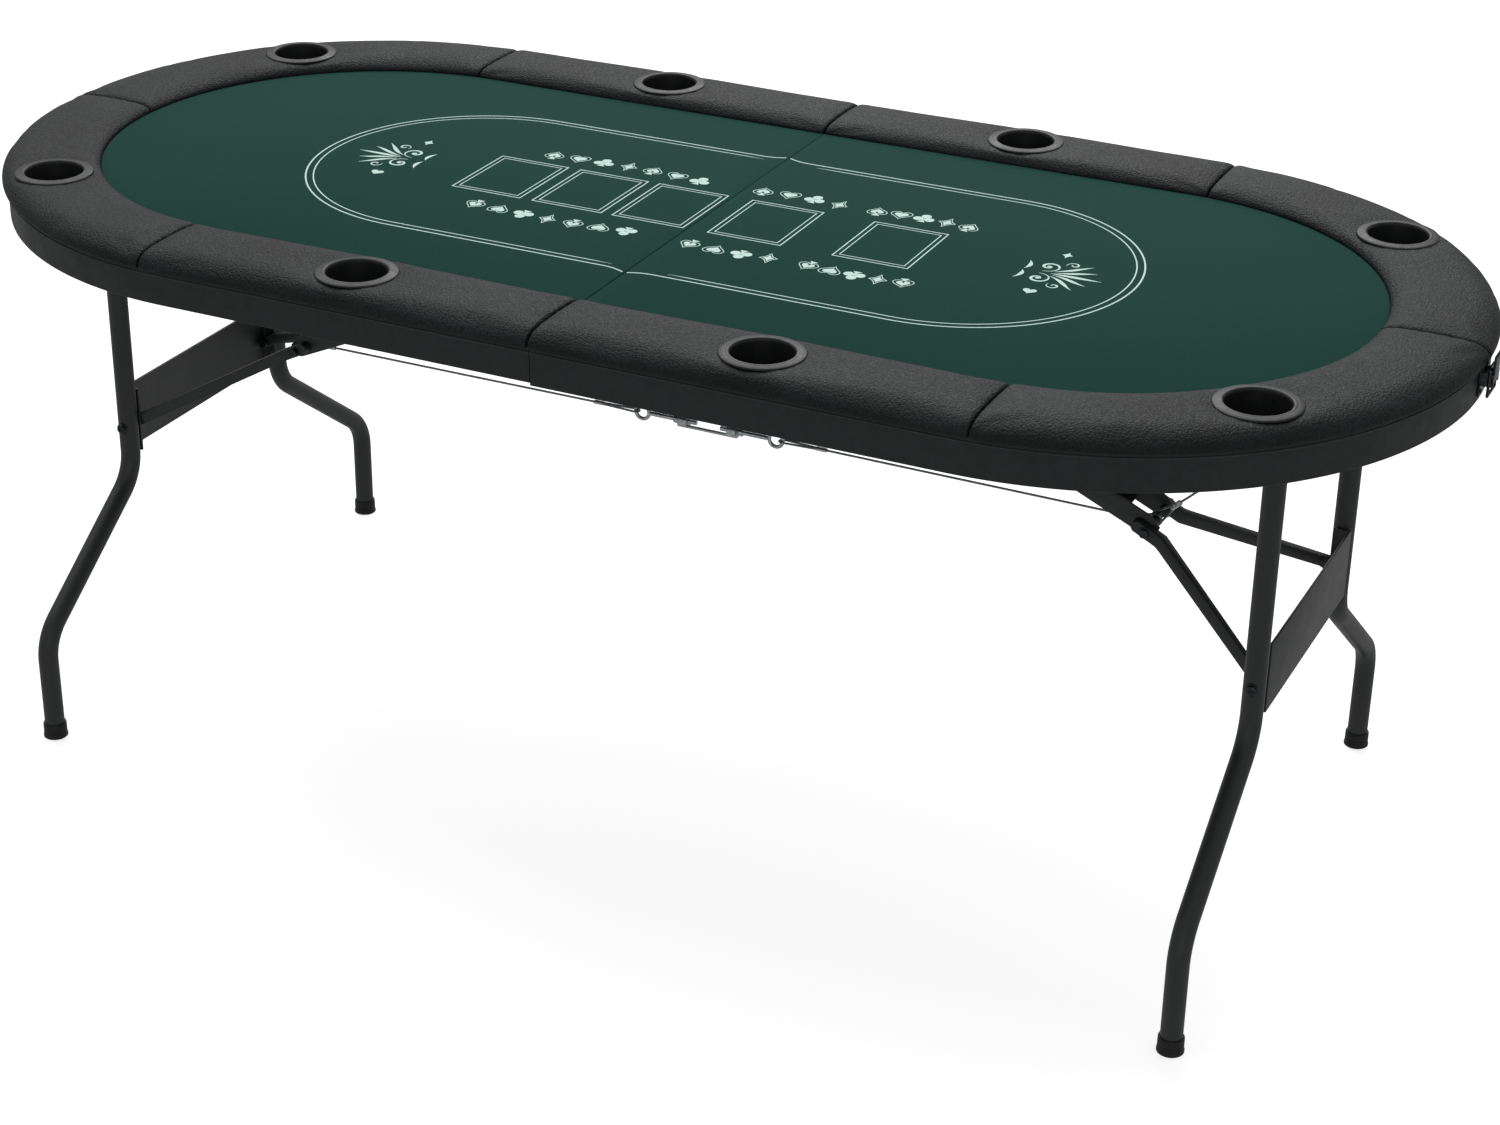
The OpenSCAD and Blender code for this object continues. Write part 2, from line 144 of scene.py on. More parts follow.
def add_studio():
    """A glowing white floor under a white sky, with a very soft sun and two large area lights."""
    world = bpy.data.worlds.new("studio")
    world.use_nodes = True
    sky = world.node_tree.nodes["Background"]
    sky.inputs["Color"].default_value = (1.0, 1.0, 1.0, 1)
    sky.inputs["Strength"].default_value = 0.42
    scene.world = world
    scene.view_settings.view_transform = "Standard"
    add_light("back_light", (-0.8, 3.0, 2.4), (0, 0, 0.7), 2.4, 22, 1.2)
    add_light("front_fill", (1.6, -4.2, 1.5), (0, 0, 0.5), 2.4, 9)
    daylight = bpy.data.lights.new("daylight", "SUN")
    daylight.energy = 2.1
    daylight.angle = math.radians(70)
    stand("daylight", daylight, turn=aimed((0.35, -0.5, -1)))
    mesh = bpy.data.meshes.new("floor")
    reach = 30
    mesh.from_pydata([(-reach, -reach, 0), (reach, -reach, 0), (reach, reach, 0), (-reach, reach, 0)], [],
                     [(0, 1, 2, 3)])
    white = Finish("floor_white", Base_Color=(0.5, 0.5, 0.5, 1), Roughness=0.8, Specular_IOR_Level=0.1,
                   Emission_Color=(1, 1, 1, 1), Emission_Strength=0.74)
    mesh.materials.append(white.material)
    floor = stand("floor", mesh)
    floor.visible_diffuse = False
    floor.visible_glossy = False


# ---------------- materials

def linear(red, green, blue):
    """A colour given as 0 to 255 display values, as the linear one that a shader takes."""
    parts = [c / 255 for c in (red, green, blue)]
    return [c / 12.92 if c <= 0.04045 else ((c + 0.055) / 1.055) ** 2.4 for c in parts] + [1]


class Finish:
    """A principled material whose colour, roughness and bump come from textures in the object's own space."""

    def __init__(self, name, **fixed):
        self.material = bpy.data.materials.new(name)
        self.material.use_nodes = True
        self.tree = self.material.node_tree
        self.shader = self.tree.nodes["Principled BSDF"]
        for socket, value in fixed.items():
            self.shader.inputs[socket.replace("_", " ")].default_value = value
        self.place = self.node("ShaderNodeTexCoord", {}).outputs["Object"]
        self.last_bump = None

    def node(self, kind, inputs, **settings):
        """A new node, each of whose inputs takes another node's output or a plain value."""
        made = self.tree.nodes.new(kind)
        for key, value in settings.items():
            setattr(made, key, value)
        for socket, value in inputs.items():
            if isinstance(value, bpy.types.NodeSocket):
                self.tree.links.new(value, made.inputs[socket])
            else:
                made.inputs[socket].default_value = value
        return made

    def give(self, output, socket):
        self.tree.links.new(output, self.shader.inputs[socket])
        return output

    def stretched(self, scale):
        return self.node("ShaderNodeMapping", {"Scale": scale, "Vector": self.place}).outputs["Vector"]

    def noise(self, scale, detail=3, roughness=0.5, place=None):
        return self.node("ShaderNodeTexNoise", {"Scale": scale, "Detail": detail, "Roughness": roughness,
                                                "Vector": place or self.place}).outputs["Fac"]

    def cells(self, scale, smoothness):
        inputs = {"Scale": scale, "Smoothness": smoothness, "Vector": self.place}
        return self.node("ShaderNodeTexVoronoi", inputs, feature="SMOOTH_F1").outputs["Distance"]

    def spread(self, value, low, high, to_low=0.0, to_high=1.0):
        return self.node("ShaderNodeMapRange", {"From Min": low, "From Max": high, "To Min": to_low,
                                                "To Max": to_high, "Value": value}).outputs["Result"]

    def colours(self, factor, first, second):
        """Gives the shader a mix of two colours, of which the first may be an earlier mix."""
        mix = self.node("ShaderNodeMix", {0: factor, 6: first, 7: second}, data_type="RGBA")
        return self.give(mix.outputs[2], "Base Color")

    def roughness(self, factor, low, high):
        self.give(self.spread(factor, 0.3, 0.7, low, high), "Roughness")

    def bump(self, height, depth, strength=1.0):
        inputs = {"Strength": strength, "Distance": depth, "Height": height}
        if self.last_bump:
            inputs["Normal"] = self.last_bump
        self.last_bump = self.give(self.node("ShaderNodeBump", inputs).outputs["Normal"], "Normal")


def leatherette(name, light, dark, grain=400, depth=0.0007):
    """Pebble-grained PVC leather: rounded pebbles, finer creases between them darkened with painted shade,
    and broad soft variation in tone.
    """
    finish = Finish(name, Specular_IOR_Level=0.13)
    broad = finish.noise(9, 3)
    mix = finish.colours(finish.spread(broad, 0.3, 0.7), linear(*dark), linear(*light))
    pebbles = finish.cells(grain, 0.35)
    # Painted shade: between the pebbles the colour darkens toward a much darker grey, as shade in the grain's
    # creases.
    painted_crease_shade = linear(*[c * 0.45 for c in dark])
    finish.colours(finish.spread(pebbles, 0.45, 0.85, 0, 0.55), mix, painted_crease_shade)
    finish.roughness(finish.noise(260, 3), 0.44, 0.60)
    finish.bump(finish.noise(70, 3), 0.0006, 0.25)
    finish.bump(finish.spread(pebbles, 0.0, 0.8, 1, 0), depth, 1.0)
    finish.bump(finish.noise(2200, 2), 0.0001, 0.35)
    return finish.material


def felt():
    """Dark green felt: short fibres with a faint sheen, in slightly uneven tone."""
    finish = Finish("felt", Specular_IOR_Level=0.08, Sheen_Weight=0.06, Sheen_Roughness=0.55,
                    Sheen_Tint=linear(120, 190, 165))
    fibre = finish.noise(1500, 4, 0.7)
    mix = finish.colours(finish.spread(fibre, 0.3, 0.7), linear(16, 46, 40), linear(28, 70, 61))
    finish.colours(finish.spread(finish.noise(7, 2), 0.45, 0.8, 0, 0.35), mix, linear(20, 55, 48))
    finish.roughness(fibre, 0.88, 1.0)
    finish.bump(finish.noise(420, 3, 0.6), 0.0006, 0.3)
    finish.bump(fibre, 0.0004, 0.6)
    return finish.material


def ink():
    """Printed lines on felt: pale mint, with the dark fibres showing through here and there."""
    finish = Finish("print_ink", Specular_IOR_Level=0.15)
    fibre = finish.noise(1700, 3, 0.7)
    finish.colours(finish.spread(fibre, 0.25, 0.6), linear(150, 190, 176), linear(212, 236, 227))
    finish.roughness(fibre, 0.8, 0.95)
    finish.bump(fibre, 0.0003, 0.5)
    return finish.material


def moulded(name, light, dark, rough=(0.34, 0.46)):
    """Moulded plastic with a fine even texture."""
    finish = Finish(name, Specular_IOR_Level=0.3)
    finish.colours(finish.noise(60, 4), linear(*dark), linear(*light))
    finish.roughness(finish.noise(140, 3), *rough)
    finish.bump(finish.noise(1800, 2), 0.00008, 0.6)
    return finish.material


def powder_coat():
    """Black powder coat: fine orange peel, slightly uneven gloss, thin dusty wear."""
    finish = Finish("powder_coat", Specular_IOR_Level=0.45)
    mix = finish.colours(finish.noise(18, 4), linear(36, 38, 38), linear(38, 40, 40))
    finish.colours(finish.spread(finish.noise(420, 5, 0.7), 0.72, 0.84, 0, 0.06), mix, linear(62, 64, 65))
    finish.roughness(finish.noise(40, 2), 0.42, 0.47)
    finish.bump(finish.cells(900, 0.6), 0.00012, 0.5)
    finish.bump(finish.noise(2600, 2), 0.00005, 0.5)
    return finish.material


def laminate(name, light, dark, stretch=(1, 1, 1)):
    """Thin matte facing over board, with a faint long grain."""
    finish = Finish(name, Specular_IOR_Level=0.35)
    grain = finish.noise(120, 4, 0.6, finish.stretched(stretch))
    finish.colours(finish.spread(grain, 0.3, 0.7), linear(*dark), linear(*light))
    finish.roughness(finish.noise(50, 3), 0.46, 0.6)
    finish.bump(grain, 0.0002, 0.3)
    finish.bump(finish.cells(1100, 0.5), 0.00012, 0.45)
    return finish.material


def metal(name, light, dark, rough=(0.2, 0.36)):
    """Bare or plated metal, with faint blotches and a fine bump."""
    finish = Finish(name, Metallic=1.0)
    blotch = finish.noise(240, 4, 0.6)
    finish.colours(finish.spread(blotch, 0.3, 0.7), linear(*dark), linear(*light))
    finish.roughness(finish.noise(500, 3), *rough)
    finish.bump(finish.noise(900, 3, 0.6), 0.00006, 0.6)
    return finish.material


# ---------------- mesh making

CORE = 0.0002
TURNS = {"Z": Matrix.Identity(3), "X": Matrix.Rotation(math.pi / 2, 3, "Y"),
         "Y": Matrix.Rotation(-math.pi / 2, 3, "X")}


class Solid:
    """Vertices and faces gathered from several closed shapes."""

    def __init__(self):
        self.verts = []
        self.faces = []

    def add(self, verts, faces):
        base = len(self.verts)
        self.verts += [tuple(v) for v in verts]
        self.faces += [tuple(base + i for i in f) for f in faces]
        return self

    def join(self, other):
        return self.add(other.verts, other.faces)

    def mirrored(self, signs):
        """The same shape with x, y and z multiplied by signs."""
        made = Solid()
        made.verts = [tuple(c * s for c, s in zip(v, signs)) for v in self.verts]
        odd = signs[0] * signs[1] * signs[2] < 0
        made.faces = [tuple(reversed(f)) if odd else f for f in self.faces]
        return made

    def mesh(self, name):
        made = bpy.data.meshes.new(name)
        made.from_pydata(self.verts, [], self.faces)
        made.update()
        tidy = bmesh.new()
        tidy.from_mesh(made)
        bmesh.ops.recalc_face_normals(tidy, faces=tidy.faces)
        tidy.to_mesh(made)
        tidy.free()
        return made


def show(name, source, material, body, stands_for=(), sharp=35, flip=(1, 1, 1)):
    """Makes a piece from a Solid, mirrored by flip, or from a mesh, dresses it and rides it on a body."""
    mesh = source.mirrored(flip).mesh(name) if isinstance(source, Solid) else source
    mesh.materials.clear()
    mesh.materials.append(material)
    mesh.shade_smooth()
    mesh.set_sharp_from_angle(angle=math.radians(sharp))
    piece = stand(name, mesh)
    if body:
        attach(piece, body)
    if stands_for:
        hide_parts(*stands_for)
    return piece


def dress(name, node, edge, material, body, sharp=35):
    """Shows a CAD node's own shape with its edges rounded."""
    return show(name, refined(node, edge), material, body, (node,), sharp)


def ring_faces(rings, count, closed=False):
    """Quads between rings of count points each, with a cap on each end unless closed."""
    faces = []
    for i in range(rings if closed else rings - 1):
        a, b = i * count, (i + 1) % rings * count
        faces += [(a + j, a + (j + 1) % count, b + (j + 1) % count, b + j) for j in range(count)]
    if not closed:
        faces.append(tuple(reversed(range(count))))
        faces.append(tuple((rings - 1) * count + j for j in range(count)))
    return faces


def stepped(r, z, offsets):
    """Profile points given as millimetres outwards and upwards from the radius r and the height z."""
    return [(r + MM * out, z + MM * up) for out, up in offsets]


def circle(radius, count, middle=(0, 0)):
    """Points round a circle."""
    return [(middle[0] + radius * math.cos(a), middle[1] + radius * math.sin(a))
            for a in np.linspace(0, 2 * math.pi, count, endpoint=False)]


def lathe(profile, place, axis="Z", steps=64):
    """A closed profile of (radius, height), or one for each angle, turned about an axis through place."""
    verts = []
    for i in range(steps):
        a = 2 * math.pi * i / steps
        section = profile(a) if callable(profile) else profile
        verts += [Vector(place) + TURNS[axis] @ Vector((r * math.cos(a), r * math.sin(a), z))
                  for r, z in section]
    return verts, ring_faces(steps, len(section), closed=True)


def disc(place, radius, height, edge, way, axis="Y"):
    """A head or washer with a rounded rim, which stands from place along its axis; way is +1 or -1."""
    foot = edge * 0.4
    arc = [(radius - edge + edge * math.sin(a), height - edge + edge * math.cos(a))
           for a in np.linspace(0, math.pi / 2, 5)]
    profile = [(CORE, 0), (CORE, height)] + arc + [(radius, foot), (radius - foot, 0)]
    return lathe([(r, z * way) for r, z in profile], place, axis, 40)


def frames_along(path):
    """A path's points, with two steady normals at each of them."""
    points = np.array(path, float)
    ways = np.gradient(points, axis=0)
    ways /= np.linalg.norm(ways, axis=1)[:, None]
    first = np.cross(ways[0], (0, 0, 1.0))
    if np.linalg.norm(first) < 0.1:
        first = np.cross(ways[0], (0, 1.0, 0))
    normals = [first / np.linalg.norm(first)]
    for way in ways[1:]:
        n = normals[-1] - way * (normals[-1] @ way)
        normals.append(n / np.linalg.norm(n))
    normals = np.array(normals)
    return points, normals, np.cross(ways, normals)


def tube(path, radius, sides=24):
    """A round tube along a path; radius is one number or one per point."""
    points, across, up = frames_along(path)
    radii = np.broadcast_to(np.array(radius, float), (len(points),))
    turns = 2 * np.pi * np.arange(sides) / sides
    rings = points[:, None] + radii[:, None, None] * (
        np.cos(turns)[None, :, None] * across[:, None] + np.sin(turns)[None, :, None] * up[:, None])
    return rings.reshape(-1, 3), ring_faces(len(points), sides)


def arc_points(middle, radius, start, end, steps, plane="xz"):
    """Points of an arc; angles in degrees from the plane's first axis to its second."""
    found = []
    for a in np.radians(np.linspace(start, end, steps)):
        u, v = radius * math.cos(a), radius * math.sin(a)
        shift = {"xz": (u, 0, v), "xy": (u, v, 0), "yz": (0, u, v)}[plane]
        found.append(tuple(c + s for c, s in zip(middle, shift)))
    return found


def block(low, high, edge):
    """A box with rounded edges."""
    made = bmesh.new()
    bmesh.ops.create_cube(made, size=1)
    low, high = Vector(low), Vector(high)
    for v in made.verts:
        v.co = Vector((low[i] + (v.co[i] + 0.5) * (high[i] - low[i]) for i in range(3)))
    bmesh.ops.bevel(made, geom=made.edges[:], offset=edge, segments=3, profile=0.5, affect="EDGES")
    made.verts.index_update()
    found = [v.co.copy() for v in made.verts], [[v.index for v in f.verts] for f in made.faces]
    made.free()
    return found


def hexagon(place, across, low, high, axis="Y"):
    """A six-sided nut or bolt head with chamfered corners, across flats, from low to high along its axis."""
    half, edge = across / 2, 0.0006
    corner_r = half * 1.06

    def section(angle):
        side = half / math.cos(angle % (math.pi / 3) - math.pi / 6)
        full, cut = min(side, corner_r), min(side, corner_r - edge)
        return [(CORE, low), (cut, low), (full, low + edge), (full, high - edge), (cut, high), (CORE, high)]

    return lathe(section, place, axis, 48)


def socket_head(place, radius, height, way, axis="Y"):
    """A button-head screw with a hexagon socket; way is +1 or -1 along its axis."""
    corners = 6
    rim = circle(radius * 0.07, 8, (radius * 0.42, way * height))
    head = Solid().add(*disc(place, radius, height, height * 0.75, way, axis))
    return head.add(*lathe(rim, place, axis, corners))


def refined(node, edge):
    """A CAD node's shape with its seams welded and its hard edges rounded."""
    made = bmesh.new()
    made.from_mesh(frame["nodes"][node].data)
    bmesh.ops.remove_doubles(made, verts=made.verts, dist=2e-6)
    bmesh.ops.dissolve_limit(made, angle_limit=math.radians(0.6), verts=made.verts, edges=made.edges)
    if edge:
        bend = math.radians(28)
        hard = [e for e in made.edges if len(e.link_faces) == 2 and e.calc_face_angle(0) > bend]
        bmesh.ops.bevel(made, geom=hard, offset=edge, segments=2, profile=0.5, affect="EDGES",
                        clamp_overlap=True)
    mesh = bpy.data.meshes.new(node + "_shape")
    made.to_mesh(mesh)
    made.free()
    return mesh


def applied(piece):
    """The piece's mesh with its modifiers worked in."""
    graph = bpy.context.evaluated_depsgraph_get()
    mesh = bpy.data.meshes.new_from_object(piece.evaluated_get(graph))
    piece.modifiers.clear()
    return mesh


def plain_points(mesh):
    """The places of a mesh's vertices, one row each."""
    found = np.zeros(len(mesh.vertices) * 3)
    mesh.vertices.foreach_get("co", found)
    return found.reshape(-1, 3)


# ---------------- padded rail

EASE = 0.0006
PAD_START = {"mid": GAP + EASE, "end": SEAM_X + 2 * SEAM_GAP + EASE}
EDGE_R = 0.0090
PUFF_CAP = 0.0028
MIDDLE_R = (RAIL_IN + RAIL_OUT) / 2
SEAT_R = RING_R + 0.004
SEAT_Z = CROWN - 0.0016
HOLE_R = RING_R - 0.0062


def pad_section():
    """The rail's closed section as (distance from the centre line, height), and its last covered point."""
    outer, inner, crown = RAIL_OUT - 0.0008, RAIL_IN + 0.0006, CROWN - 0.0016
    wall, lip = APRON_OUT + 0.0006, LIP_LOW + 0.0002
    cover = [(inner, BOARD_TOP + 0.0004)]
    cover += stepped(inner, crown, [(-0.2, -9.5), (1.0, -7.0), (3.4, -4.5), (7.5, -2.4), (13.5, -1.0),
                                    (21, -0.2)])
    cover += [(inner + 0.021 + (outer - inner - 0.047) * t, crown + 0.0010 * math.sin(math.pi * t))
              for t in np.linspace(0.1, 0.9, 9)]
    cover += stepped(outer, crown, [(-26, -0.1), (-18.5, -1.1), (-12, -3.0), (-6.8, -6.0), (-3.0, -9.8),
                                    (-0.8, -14.0), (-0.1, -17.8)])
    cover.append((outer - 0.0020, lip))
    under = [(wall, lip), (wall, BOARD_TOP + 0.0002)]
    under += [(APRON_OUT - 0.004 - (APRON_OUT - inner - 0.010) * t, BOARD_TOP + 0.0004)
              for t in np.linspace(0, 1, 9)]
    return cover + under, len(cover) - 1


def pad_stations(kind):
    """Shares of the pad's length where its rings stand, close together at both seams."""
    length = SEAM_X if kind == "mid" else math.pi / 2 * MIDDLE_R
    edge = [d / length for d in (0, 0.0008, 0.0022, 0.0045, 0.0078, 0.0125)]
    inner = np.linspace(edge[-1], 1 - edge[-1], int(length / 0.0062))[1:-1]
    return np.array(edge + list(inner) + [1 - e for e in reversed(edge)]), length


def rail_point(kind, share, r):
    """Plan position in the right front quarter, at a share of a pad's length and r from the centre line."""
    if kind == "mid":
        last = math.asin((SEAM_X - EASE - END_X) / r)
        s = PAD_START["mid"] + share * (END_X - PAD_START["mid"] + r * last)
        if s <= END_X:
            return s, -r
        a = (s - END_X) / r
    else:
        first = math.asin((PAD_START["end"] - END_X) / r)
        last = math.pi / 2 - SEAM_GAP / r
        a = first + share * (last - first)
    return END_X + r * math.sin(a), -r * math.cos(a)


def raw_pad(kind):
    """The unpuffed pad of the right front quarter: vertices, faces, and how free each vertex is to swell."""
    section, upper = pad_section()
    shares, length = pad_stations(kind)
    cup = CUP_CENTRES[("right", "front", kind)]
    inwards, downwards = 0.22, 0.62
    seat_slope, seam_grip = 0.005, 0.006
    verts, free = [], []
    for share in shares:
        d = min(share, 1 - share) * length
        drop = EDGE_R - math.sqrt(max(EDGE_R ** 2 - max(EDGE_R - d, 0) ** 2, 0))
        for j, (r, z) in enumerate(section):
            covered = j <= upper
            height = max(z - LIP_LOW, 0) / (CROWN - LIP_LOW)
            pulled = r + math.copysign(inwards * drop, MIDDLE_R - r) * covered
            low = z - drop * downwards * height ** 2 * covered
            x, y = rail_point(kind, share, pulled)
            away = math.hypot(x - cup.x, y - cup.y)
            freedom = float(0 < j < upper)
            if covered and away < SEAT_R:
                sunk = min(max((SEAT_R - away) / seat_slope, 0), 1)
                low += (min(low, SEAT_Z) - low) * sunk
                freedom *= 1 - sunk
            verts.append((x, y, low))
            free.append(freedom * min(d / seam_grip, 1))
    return np.array(verts), ring_faces(len(shares), len(section)), np.array(free)


def puffed(kind):
    """The pad after air pressure has swelled its cover against its edges and cup holder."""
    verts, faces, free = raw_pad(kind)
    mesh = bpy.data.meshes.new("puff_" + kind)
    mesh.from_pydata(verts.tolist(), [], faces)
    mesh.update()
    blown = stand("puff_" + kind, mesh)
    pins = blown.vertex_groups.new(name="pins")
    for i, f in enumerate(free):
        pins.add([i], 1 - f, "REPLACE")
    cloth = blown.modifiers.new("Cloth", "CLOTH")
    fabric = {"quality": 6, "mass": 0.35, "tension_stiffness": 12, "compression_stiffness": 12,
              "shear_stiffness": 5, "bending_stiffness": 0.6, "use_pressure": True,
              "uniform_pressure_force": 4, "vertex_group_mass": "pins", "pin_stiffness": 1.0}
    for key, value in fabric.items():
        setattr(cloth.settings, key, value)
    cloth.settings.effector_weights.gravity = 0
    cloth.collision_settings.use_collision = False
    last_frame = 20
    cloth.point_cache.frame_start = 1
    cloth.point_cache.frame_end = last_frame
    for number in range(1, last_frame + 1):
        scene.frame_set(number)
    shift = (plain_points(applied(blown)) - verts) * free[:, None]
    size = np.linalg.norm(shift, axis=1)[:, None]
    shift *= PUFF_CAP * np.tanh(size / PUFF_CAP) / np.maximum(size, 1e-9)
    bpy.data.objects.remove(blown)
    scene.frame_set(1)
    return verts + shift, faces


def ripple(along, *waves):
    """Waves along a length added up, each given as (share, wavelength, shift)."""
    return sum(share * np.sin(2 * np.pi * along / length + shift) for share, length, shift in waves)


def puckered(points, kind):
    """Gathers the cover a little where it is pulled down: at the seams and round the cup holder."""
    cup = CUP_CENTRES[("right", "front", kind)]
    gather, roll_depth = 0.00022, 0.00018
    x, y, z = points.T
    r = np.where(x > END_X, np.hypot(x - END_X, y), -y)
    seams = [np.abs(x - SEAM_X), np.abs(x) if kind == "mid" else np.abs(y)]
    lift = np.zeros(len(points))
    for k, d in enumerate(seams):
        lift += gather * ripple(r, (1, 0.017, 1.7 * k), (0.6, 0.0103, 2.1 * k)) * np.exp(-d / 0.016)
    away = np.hypot(x - cup.x, y - cup.y)
    around = np.arctan2(y - cup.y, x - cup.x)
    pull = np.exp(-np.maximum(away - RING_R, 0) / 0.010) * (away > RING_R)
    lift += gather * pull * (np.sin(13 * around) + 0.5 * np.sin(21 * around + 1))
    side = np.clip((r - RAIL_OUT + 0.02) / 0.02, 0, 1)
    along = np.where(x > END_X, END_X + RAIL_OUT * np.arctan2(x - END_X, -y), x)
    roll = roll_depth * side * ripple(along, (1, 0.061, 0), (0.7, 0.037, 1))
    top = z > BOARD_TOP + 0.003
    out = points.copy()
    out[:, 2] += lift * top
    outward = np.stack([np.maximum(x - END_X, 0), y], 1)
    outward /= np.maximum(np.linalg.norm(outward, axis=1), 1e-6)[:, None]
    out[:, :2] += outward * (roll * top)[:, None]
    return out


def pad_mesh(kind):
    """The finished pad of the right front quarter, with the hole for its cup holder."""
    smooth = stand("smooth_pad", Solid().add(*puffed(kind)).mesh("smooth_pad"))
    smooth.modifiers.new("Subdivision", "SUBSURF").levels = 1
    mesh = applied(smooth)
    mesh.vertices.foreach_set("co", puckered(plain_points(mesh), kind).ravel())
    mesh.update()
    smooth.data = mesh
    cup = CUP_CENTRES[("right", "front", kind)]
    core, low, high = 0.00005, 0.6, 0.8
    drill = lathe([(core, low), (HOLE_R, low), (HOLE_R, high), (core, high)], (cup.x, cup.y, 0), "Z", 96)
    cutter = stand("cup_cutter", Solid().add(*drill).mesh("cup_cutter"))
    cut = smooth.modifiers.new("Boolean", "BOOLEAN")
    cut.operation = "DIFFERENCE"
    cut.solver = "EXACT"
    cut.object = cutter
    mesh = applied(smooth)
    bpy.data.objects.remove(smooth)
    bpy.data.objects.remove(cutter)
    return mesh


def mirrored_mesh(source, name, sx, sy):
    mesh = source.copy()
    mesh.name = name
    mesh.transform(Matrix.Diagonal((sx, sy, 1, 1)))
    if sx * sy < 0:
        mesh.flip_normals()
    return mesh


def add_pads(material):
    for kind in ("mid", "end"):
        quarter = pad_mesh(kind)
        for side, sx in SIDES:
            for depth, sy in DEPTHS:
                node = f"pad_{side}_{depth}_{kind}"
                mesh = mirrored_mesh(quarter, f"rail_{node}", sx, -sy)
                piece = show(f"rail_{node}", mesh, material, f"{side}_half", (node,), sharp=42)


# ---------------- cup holders

def add_cups(material):
    """Drop-in cup holders: a flange with a raised lip, a tapered wall and a ribbed floor."""
    top, low = RING_TOP, CUP_LOW
    mouth, foot, wall = RING_R - 0.0106, RING_R - 0.0138, 0.0016
    inside = [(CORE, low + 0.0020)]
    for rib in (10, 20):
        inside += stepped(0, low, [(rib, 2.0), (rib + 1, 2.8), (rib + 3, 2.8), (rib + 4, 2.0)])
    inside += stepped(foot, low, [(-4.0, 2.0), (-1.8, 3.2), (-0.8, 5.8)])
    inside += stepped(mouth - wall, top, [(-0.8, -4.0), (-0.2, -1.4)])
    flange = stepped(mouth, top, [(-0.6, -0.3), (0.4, 0), (1.4, -0.1), (2.1, -0.4), (3.2, -0.6)])
    flange += stepped(RING_R, top, [(-1.8, -1.1), (-0.7, -1.7), (-0.1, -2.8), (-0.3, -3.4)])
    outside = [(mouth + wall + 0.0010, top - 0.0036), (mouth - 0.0002, top - 0.0060)]
    outside += stepped(foot, low, [(1.4, 2.4), (0.6, 0.6), (-0.6, 0)]) + [(CORE, low)]
    for (side, depth, kind), middle in CUP_CENTRES.items():
        node = f"cup_{side}_{depth}_{kind}"
        solid = Solid().add(*lathe(inside + flange + outside, (middle.x, middle.y, 0), "Z", 96))
        show("holder_" + node, solid, material, f"{side}_half", (node,), sharp=50)


# ---------------- boards, apron and felt

def half_stations(start):
    """Stations round one half's outline from front to back, as the axis's x and the outward direction."""
    straight = [(x, 0.0, -1.0) for x in np.linspace(start, END_X, 20)[:-1]]
    arc = [(END_X, math.sin(a), -math.cos(a)) for a in np.linspace(0, math.pi, 121)]
    back = [(x, 0.0, 1.0) for x in np.linspace(END_X, start, 20)[1:]]
    return straight + arc + back


def swept(profile, start):
    """A closed profile of (distance from the axis, height) carried round one half's outline."""
    stations = half_stations(start)
    verts = [(bx + r * nx, r * ny, z) for bx, nx, ny in stations for r, z in profile]
    return verts, ring_faces(len(stations), len(profile))


def add_aprons(face_material, welt_highlight_material):
    """The hollow skirt of each half, with its cross wall at the fold and the welt under the rail, whose light
    colour is a painted highlight.
    """
    edge, wall_thick = 0.0014, 0.018
    inner, outer = BOARD_OUT, APRON_OUT
    bead_r, bead_z = 0.0011, LIP_LOW - 0.0056
    for side, sx in SIDES:
        body, flip = f"{side}_half", (sx, 1, 1)
        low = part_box(f"apron_{side}_half")[0].z
        corner = np.linspace(0, math.pi / 2, 4)
        profile = [(inner + edge - edge * math.cos(a), low + edge - edge * math.sin(a)) for a in corner]
        profile += [(outer - edge + edge * math.sin(a), low + edge - edge * math.cos(a)) for a in corner]
        profile += [(outer, BOARD_TOP - 0.0002), (inner, BOARD_TOP - 0.0002)]
        solid = Solid().add(*swept(profile, GAP))
        solid.add(*block((GAP, -inner, low), (GAP + wall_thick, inner, BOARD_LOW - 0.0002), 0.0012))
        show(f"skirt_{side}", solid, face_material, body, (f"apron_{body}",), 40, flip)
        highlight_welt = Solid().add(*swept(circle(bead_r, 10, (outer + 0.0003, bead_z)), GAP + 0.0002))
        show(f"welt_{side}", highlight_welt, welt_highlight_material, body, (), 60, flip)


def add_decks(material, screw_material):
    """The boards' own CAD shapes, with the screws that hold the rail from below."""
    for side, sx in SIDES:
        dress(f"board_{side}", f"deck_{side}", 0.0005, material, f"{side}_half")
        screws = Solid()
        for x in (0.10, 0.30, 0.50, 0.66):
            for y in (-0.30, 0.30):
                screws.join(socket_head((x, y, BOARD_LOW), 0.0042, 0.0018, -1, "Z"))
        show(f"board_screws_{side}", screws, screw_material, f"{side}_half", flip=(sx, 1, 1))


